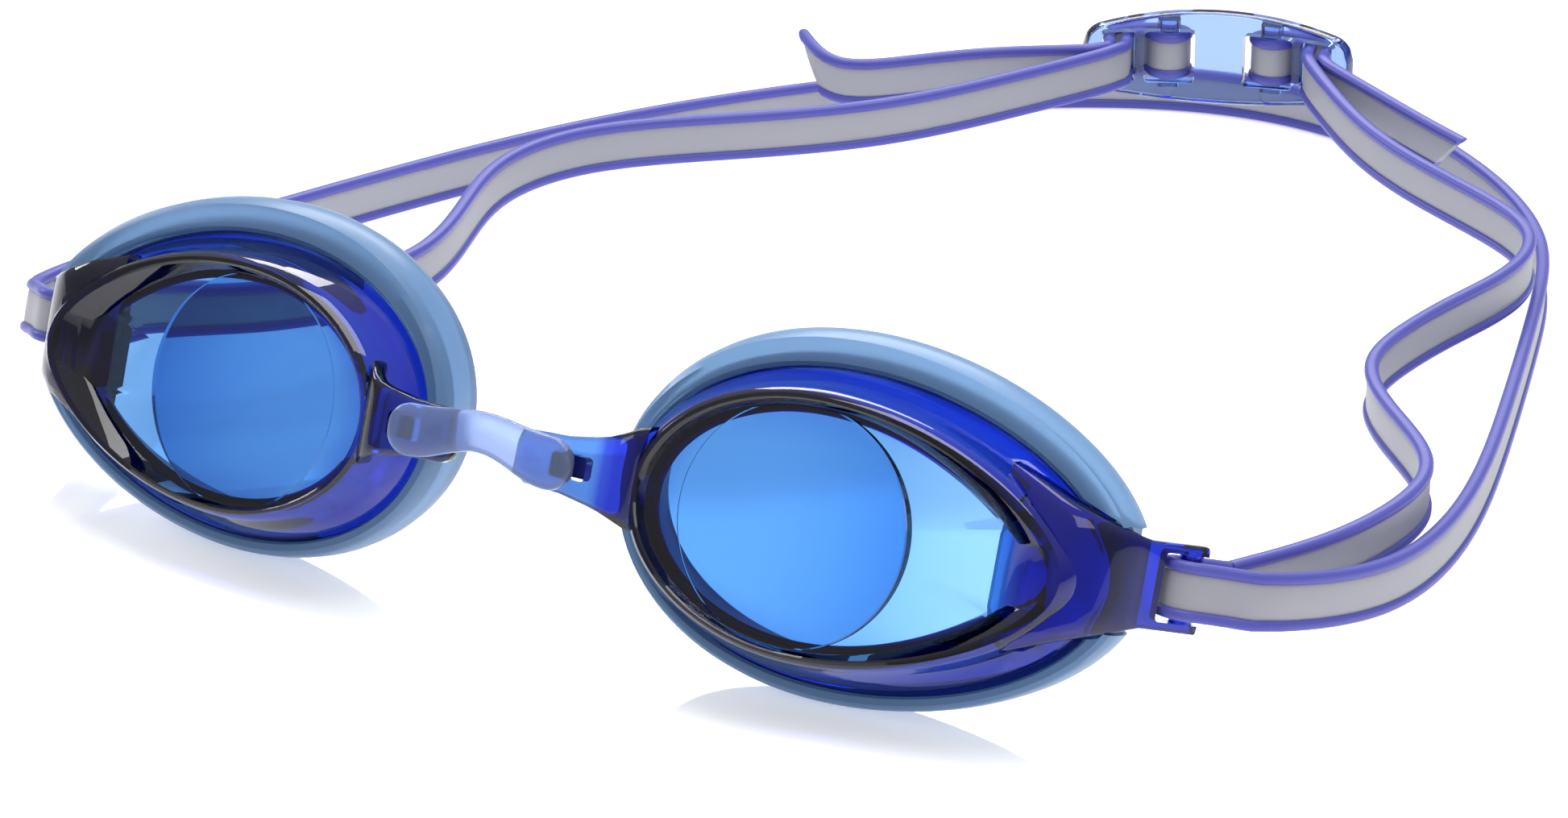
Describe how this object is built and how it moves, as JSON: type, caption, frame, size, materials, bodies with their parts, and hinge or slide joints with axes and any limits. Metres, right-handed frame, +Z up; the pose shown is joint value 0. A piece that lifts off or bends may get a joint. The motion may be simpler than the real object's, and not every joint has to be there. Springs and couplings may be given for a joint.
{
  "type": "swim goggles",
  "caption": "Swimming goggles with tinted one-piece eye cups, soft gaskets, a flexible nose bridge and a flat double head strap held by a rear clip.",
  "frame": {"origin": "middle of the nose bridge, on the mid-plane between the eye cups", "axes": "+X across the face towards the right-hand cup as seen from the front, +Y back along the head strap, +Z up, with the pair put down on a table"},
  "size_m": [0.1627, 0.1873, 0.0366],
  "materials": {
    "tinted_lens": "clear tinted, polished",
    "gasket": "satin translucent",
    "bridge": "satin translucent",
    "clip": "gloss translucent",
    "strap_web": "matte translucent",
    "strap_bead": "satin"
  },
  "bodies": {
    "left_eyecup": {"left_lens": "tinted_lens", "left_gasket": "gasket", "nose_bridge": "bridge", "rear_clip": "clip", "strap_outer_web": "strap_web", "strap_outer_beads": "strap_bead", "strap_left_web": "strap_web", "strap_left_beads": "strap_bead", "strap_right_web": "strap_web", "strap_right_beads": "strap_bead"},
    "right_eyecup": {"right_lens": "tinted_lens", "right_gasket": "gasket"}
  },
  "joints": [
    {"name": "bridge_flex", "type": "hinge", "parent": "left_eyecup", "child": "right_eyecup", "pos_m": [0, 0, 0], "axis": [0, 0.342, 0.9397], "range_deg": [-12, 15], "stiffness_Nm_per_rad": 0.1, "deforming": ["nose_bridge", "strap_outer_web", "strap_outer_beads", "strap_right_web", "strap_right_beads"]}
  ]
}
